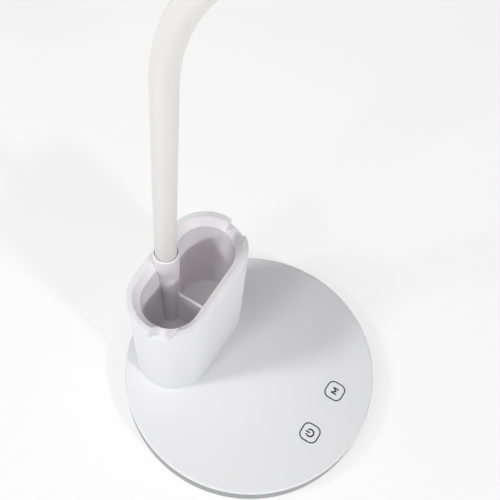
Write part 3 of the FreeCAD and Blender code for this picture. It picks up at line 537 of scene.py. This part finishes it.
def neck_post():
    """The post from the floor to the collar. Below the collar it widens and shifts to the neck."""
    # In millimetres: where it starts and widens, over what height, from what radius and by how
    # much, and how far it shifts.
    foot, widening, widening_height = 29.6, 91.0, 10.0
    slim_radius, wider, shift = 5.9, 1.7, 1.4
    steps = 8
    bpy.ops.object.select_all(action="DESELECT")
    bpy.ops.mesh.primitive_circle_add(
        vertices=72,
        radius=slim_radius * mm,
        fill_type="NGON",
        location=(0.0, post_y, foot * mm),
    )
    post = bpy.context.object
    post.name = "neck_post"
    bpy.ops.object.transform_apply(location=True)
    bpy.ops.object.mode_set(mode="EDIT")
    bpy.ops.mesh.select_all(action="SELECT")
    ring_move(widening * mm - foot * mm)
    height = widening * mm
    radius = slim_radius * mm
    eased = 0.0
    for step in range(1, steps + 1):
        share = step / steps
        last = eased
        eased = share * share * (3.0 - 2.0 * share)
        new_height = (widening + widening_height * share) * mm
        new_radius = (slim_radius + wider * eased) * mm
        ring_move(new_height - height, new_radius / radius, shift * mm * (eased - last))
        height = new_height
        radius = new_radius
    ring_move(collar_top - 0.7 * mm - height)
    # The collar's rounded top edge, and then its bore, in millimetres.
    for rise, smaller in ((0.28, 0.05), (0.2, 0.11), (0.13, 0.18), (0.09, 0.26)):
        new_radius = radius - smaller * mm
        ring_move(rise * mm, new_radius / radius)
        radius = new_radius
    for rise, bore in ((0.0, 6.8), (-0.12, 6.66), (-1.2, 6.66), (-0.1, 6.9), (-12.4, 6.9)):
        ring_move(rise * mm, bore * mm / radius)
        radius = bore * mm
    close_up(post)
    # The post's flat front, in millimetres: what lies before it is cut away.
    face = [(50.0, 28.0), (54.25, 28.0), (54.25, 90.5), (53.62, 101.0), (53.62, 110.6)]
    face += [(53.2, 111.6), (50.0, 111.6)]
    combine(post, bar_along_x("post_flat", face, 8.0), "DIFFERENCE")
    return post


def divider():
    """The plate between the compartments, level along its top up to the post."""
    half_thickness = 0.85
    outline = [(28.4, 67.0), (28.4, 30.0), (56.0, 30.0), (56.0, 67.0)]
    plate = bar_along_x("divider_plate", outline, half_thickness)
    round_top = plate.modifiers.new("round_top", "BEVEL")
    round_top.width = 0.14 * mm
    round_top.segments = 2
    round_top.limit_method = "ANGLE"
    round_top.angle_limit = math.radians(50.0)
    bpy.ops.object.modifier_apply(modifier=round_top.name)
    return plate


def divider_flare():
    """The thin web that rises from the divider on the post's flat front, and widens into it."""
    # In millimetres: where its back and its foot are, and how wide and deep its foot is.
    back, height = 55.5, 65.0
    wide, deep = 1.56, 3.0
    bpy.ops.object.select_all(action="DESELECT")
    bpy.ops.mesh.primitive_plane_add(size=1.0 * mm, location=(0.0, back * mm, height * mm))
    flare = bpy.context.object
    bpy.ops.object.transform_apply(location=True)
    bpy.ops.object.mode_set(mode="EDIT")
    bpy.ops.mesh.select_all(action="SELECT")
    bpy.ops.transform.translate(value=(0.0, -0.5 * mm, 0.0))
    bpy.ops.transform.resize(
        value=(wide, deep, 1.0), center_override=(0.0, back * mm, height * mm)
    )
    # Each ring above it: its rise over the last one, its half width and its depth.
    rings = [(2.0, 0.78, 3.0), (0.5, 0.8, 2.4), (1.0, 0.84, 2.05), (2.0, 0.93, 1.8)]
    rings += [(3.0, 1.1, 1.62), (3.5, 1.34, 1.48), (4.0, 1.7, 1.38), (4.0, 2.15, 1.31)]
    rings += [(3.5, 2.68, 1.245)]
    for rise, new_half, new_deep in rings:
        height += rise
        bpy.ops.mesh.extrude_region_move(TRANSFORM_OT_translate={"value": (0, 0, rise * mm)})
        bpy.ops.transform.resize(
            value=(new_half * 2.0 / wide, new_deep / deep, 1.0),
            center_override=(0.0, back * mm, height * mm),
        )
        wide, deep = new_half * 2.0, new_deep
    return close_up(flare)


combine(organizer_liner, notch_cutter(), "DIFFERENCE")
combine(organizer_liner, divider(), "UNION")
# What joins the post to the back wall, in millimetres.
post_back = [(59.5, 30.0), (64.4, 30.0), (64.4, 97.0), (62.5, 97.0), (59.5, 91.0)]
combine(organizer_liner, bar_along_x("post_back", post_back, 5.75), "UNION")
combine(organizer_liner, neck_post(), "UNION")
combine(organizer_liner, divider_flare(), "UNION")
smooth(organizer_liner, 32.0)
# Painted shade colour: the liner is tinted pink, and a little lighter than the shell's white, so
# that the cup's shaded inside comes out mauve and brighter.
liner_painted_shade_tint = moulded_plastic("white_liner_painted_shade_tint", (0.93, 0.90, 0.91), 0.42, 0.10)
dress(organizer_liner, liner_painted_shade_tint, "stand")
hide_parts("organizer_liner")


# --- Flexible neck ----------------------------------------------------------------------------
# A wound steel core in a matt white silicone sleeve, crimped into a ferrule at the collar. Each
# length runs over one joint, and the lengths meet between the joints; they are built in a fixed
# curve and don't bend here.
sleeve_radius = 6.25 * mm
core_radius = 4.3 * mm
arch = 140.0 * mm
lean = 625.0 * mm
neck_foot = (neck_y, 107.0 * mm, 0.0)
ring_pitch = 2.2 * mm
ring_spacing = 2.0 * mm
# Each length's three runs, the middle one over the joint: how long it is, in millimetres, and the
# radius that it is curved to at rest, or None where it is straight.
neck_lengths = [
    [(9.0, None), (24.0, lean), (19.5, None)],
    [(19.5, None), (24.0, None), (19.5, None)],
    [(19.5, None), (24.0, None), (19.5, arch)],
    [(19.5, arch), (24.0, arch), (19.5, arch)],
    [(19.5, arch), (24.0, arch), (19.5, arch)],
    [(19.5, arch), (24.0, arch), (50.0, arch)],
]


def along_neck(place, length, radius):
    """Where the neck's middle line is after a length: y, z and its lean from upright."""
    y, z, angle = place
    if radius is None:
        return y - length * math.sin(angle), z + length * math.cos(angle), angle
    after = angle + length / radius
    y -= radius * (math.cos(angle) - math.cos(after))
    z += radius * (math.sin(after) - math.sin(angle))
    return y, z, after


def neck_tube(name, radius, place, runs):
    """One length of tube along its runs, drawn out ring by ring from a circle."""
    bpy.ops.object.select_all(action="DESELECT")
    bpy.ops.mesh.primitive_circle_add(
        vertices=48,
        radius=radius,
        fill_type="NGON",
        location=(0.0, place[0], place[1]),
        rotation=(place[2], 0.0, 0.0),
    )
    tube = bpy.context.object
    tube.name = name
    bpy.ops.object.transform_apply(location=True, rotation=True)
    bpy.ops.object.mode_set(mode="EDIT")
    bpy.ops.mesh.select_all(action="SELECT")
    for length, bend in runs:
        length = length * mm
        steps = max(1, round(length / ring_spacing))
        if bend is None:
            step = length / steps
            way = Vector((0.0, -math.sin(place[2]), math.cos(place[2]))) * step
            for _ in range(steps):
                bpy.ops.mesh.extrude_region_move(TRANSFORM_OT_translate={"value": way})
        else:
            centre = (
                0.0,
                place[0] - bend * math.cos(place[2]),
                place[1] - bend * math.sin(place[2]),
            )
            bpy.ops.mesh.spin(steps=steps, angle=-length / bend, center=centre, axis=(1, 0, 0))
        place = along_neck(place, length, bend)
    return close_up(tube)


def silicone(name, color):
    """Matt silicone rubber, with faint rings where the wound core shows through."""
    material = moulded_plastic(name, color, 0.55, 0.25)
    tree = material.node_tree
    shader = tree.nodes["Principled BSDF"]
    shader.inputs["Subsurface Weight"].default_value = 0.08
    shader.inputs["Subsurface Radius"].default_value = (0.002, 0.0018, 0.0015)
    run = tree.nodes.new("ShaderNodeAttribute")
    run.attribute_name = "neck_run"
    ripple = tree.nodes.new("ShaderNodeMath")
    ripple.operation = "SINE"
    tree.links.new(run.outputs["Fac"], ripple.inputs[0])
    rings = tree.nodes.new("ShaderNodeBump")
    rings.inputs["Strength"].default_value = 0.10
    rings.inputs["Distance"].default_value = 0.00008
    tree.links.new(ripple.outputs["Value"], rings.inputs["Height"])
    grain = [node for node in tree.nodes if node.type == "BUMP" and node != rings][0]
    tree.links.new(grain.outputs["Normal"], rings.inputs["Normal"])
    tree.links.new(rings.outputs["Normal"], shader.inputs["Normal"])
    return material


sleeve_silicone = silicone("white_silicone_sleeve", (0.80, 0.79, 0.775))
core_steel = moulded_plastic("wound_core_steel", (0.42, 0.42, 0.43), 0.35, 0.2)
core_steel.node_tree.nodes["Principled BSDF"].inputs["Metallic"].default_value = 1.0


def mark_run(tube, place, runs, start):
    """Write on each point how far along the neck it is, for the rings in the silicone."""
    line = []
    done = start
    steps = 25
    for length, bend in runs:
        for step in range(steps):
            gone = length * mm * step / steps
            y, z, _ = along_neck(place, gone, bend)
            line.append((done + gone, Vector((0.0, y, z))))
        done += length * mm
        place = along_neck(place, length * mm, bend)
    line.append((done, Vector((0.0, place[0], place[1]))))
    runs_at = tube.data.attributes.new("neck_run", "FLOAT", "POINT")
    for point in tube.data.vertices:
        middle = Vector((0.0, point.co.y, point.co.z))
        near = min(line, key=lambda item: (item[1] - middle).length_squared)
        runs_at.data[point.index].value = near[0] * 2 * math.pi / ring_pitch
    return done


# Each joint lies halfway along its length's middle run, which reaches this far to each side of it;
# the joint is worked out here but nothing uses it, and the neck doesn't bend. The first joint has
# less room, because the neck is held straight in the collar below it.
place = neck_foot
run_so_far = 0.0
for number, runs in enumerate(neck_lengths, start=1):
    rigid_end = along_neck(place, runs[0][0] * mm, runs[0][1])
    joint = along_neck(rigid_end, runs[1][0] / 2 * mm, runs[1][1])
    for kind, radius in (("sleeve", sleeve_radius), ("core", core_radius)):
        tube = neck_tube(f"neck_{kind}_length_{number}", radius, place, runs)
        run_end = mark_run(tube, place, runs, run_so_far)
        smooth(tube, 40.0)
        tube.data.materials.append(sleeve_silicone if kind == "sleeve" else core_steel)
        stands_for = [f"neck_{kind}_{number}", f"{kind}_bend_{number}"]
        if number == len(neck_lengths):
            stands_for.append(f"neck_{kind}_{number + 1}")
        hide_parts(*stands_for)
        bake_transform(tube)
    run_so_far = run_end
    for length, bend in runs:
        place = along_neck(place, length * mm, bend)
neck_end = place


# --- Lamp head --------------------------------------------------------------------------------
# A slim bar with round ends, in two visible pieces: the white housing, moulded with a round top
# edge, and the opal diffuser that closes it from below. It is modelled level, and set on the neck.
head_half = 61.5 * mm
head_middle = -78.5 * mm
head_tilt = neck_end[2] - math.pi / 2


def set_along_head(piece):
    """Turn an oval piece to lie along the head, in the head's own frame."""
    bpy.ops.object.select_all(action="DESELECT")
    bpy.context.view_layer.objects.active = piece
    piece.select_set(True)
    piece.rotation_euler = (0.0, 0.0, math.pi / 2)
    piece.location = (0.0, head_middle, 0.0)
    bpy.ops.object.transform_apply(location=True, rotation=True)


def set_on_neck(piece):
    """Move a piece from the head's own frame to the end of the neck."""
    bpy.ops.object.select_all(action="DESELECT")
    bpy.context.view_layer.objects.active = piece
    piece.select_set(True)
    piece.rotation_euler = (head_tilt, 0.0, 0.0)
    piece.location = (0.0, neck_end[0], neck_end[1])
    bpy.ops.object.transform_apply(location=True, rotation=True)


head_radius = 21.0 * mm
head_top = 8.5 * mm
head_inside = 19.2 * mm
head_under = 6.7 * mm
top_round = 3.0 * mm
foot_round = 0.6 * mm
housing_section = [(0.0, head_top), (9.0 * mm, head_top), (17.6 * mm, head_top)]
housing_section += quarter_round(18.0 * mm, 5.5 * mm, top_round, 90.0, 0.0, 10)
housing_section += [(head_radius, 5.2 * mm), (head_radius, -8.9 * mm)]
housing_section += quarter_round(20.4 * mm, -8.9 * mm, foot_round, 0.0, -90.0, 5)
housing_section += [(19.5 * mm, -9.5 * mm), (head_inside, -9.3 * mm), (head_inside, head_under)]
housing_section += [(0.0, head_under)]
head_housing = oval_moulding(
    "head_housing_shell", housing_section, half_turn_steps, head_half, 0.0
)
set_along_head(head_housing)
hole_radius = 6.55 * mm
bpy.ops.object.select_all(action="DESELECT")
bpy.ops.mesh.primitive_cylinder_add(
    vertices=64, radius=hole_radius, depth=10.0 * mm, location=(0.0, 3.0 * mm, 0.0),
    rotation=(math.pi / 2, 0.0, 0.0),
)
neck_hole = bpy.context.object
bpy.ops.object.transform_apply(location=True, rotation=True)
combine(head_housing, neck_hole, "DIFFERENCE")
set_on_neck(head_housing)
smooth(head_housing, 32.0)
dress(head_housing, white_plastic, "lamp_head")
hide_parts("head_housing")

lens_radius = 18.98 * mm
lens_back = -7.5 * mm
diffuser_section = [(0.0, lens_back), (lens_radius, lens_back), (lens_radius, -8.6 * mm)]
diffuser_section += quarter_round(18.38 * mm, -8.6 * mm, foot_round, 0.0, -90.0, 5)
diffuser_section += [(17.6 * mm, -9.22 * mm), (10.0 * mm, -9.3 * mm), (0.0, -9.32 * mm)]
diffuser = oval_moulding("opal_diffuser_lens", diffuser_section, half_turn_steps, head_half, 0.0)
set_along_head(diffuser)
set_on_neck(diffuser)
smooth(diffuser, 32.0)
opal_plastic = moulded_plastic("frosted_opal_plastic", (0.86, 0.86, 0.85), 0.5, 0.1)
opal_shader = opal_plastic.node_tree.nodes["Principled BSDF"]
opal_shader.inputs["Subsurface Weight"].default_value = 0.3
opal_shader.inputs["Subsurface Radius"].default_value = (0.003, 0.003, 0.003)
dress(diffuser, opal_plastic, "lamp_head")
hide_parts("diffuser")


# --- Pieces kept from the CAD frame -----------------------------------------------------------
# What is hidden in the base and the head keeps its CAD shape, in the finish of its material.
def plain_metal(name, color, roughness):
    """Plated or plain metal with a faint brushed drift."""
    material = moulded_plastic(name, color, roughness, 0.15, tint=(0.92, 0.92, 0.93))
    material.node_tree.nodes["Principled BSDF"].inputs["Metallic"].default_value = 1.0
    return material


finishes = {
    "white_plastic": white_plastic,
    "white_silicone": sleeve_silicone,
    "grey_foam": dark_foam,
    "steel": plain_metal("zinc_plated_steel", (0.62, 0.62, 0.64), 0.32),
    "circuit_board": moulded_plastic("green_solder_mask", (0.02, 0.12, 0.05), 0.3, 0.05),
    "aluminium_board": moulded_plastic("white_solder_mask", (0.8, 0.8, 0.8), 0.35, 0.05),
    "aluminium_plate": plain_metal("plain_aluminium", (0.78, 0.78, 0.79), 0.4),
    "brass_pads": plain_metal("tinned_pads", (0.72, 0.66, 0.5), 0.35),
    "diode_face": moulded_plastic("diode_resin", (0.85, 0.68, 0.2), 0.3, 0.02),
    "opal_diffuser": opal_plastic,
}
slot_of = {part["node"]: part["material_slot"] for part in frame["record"]["subparts"]}
for name, node in frame["nodes"].items():
    node.data.materials.clear()
    node.data.materials.append(finishes[slot_of[name]])
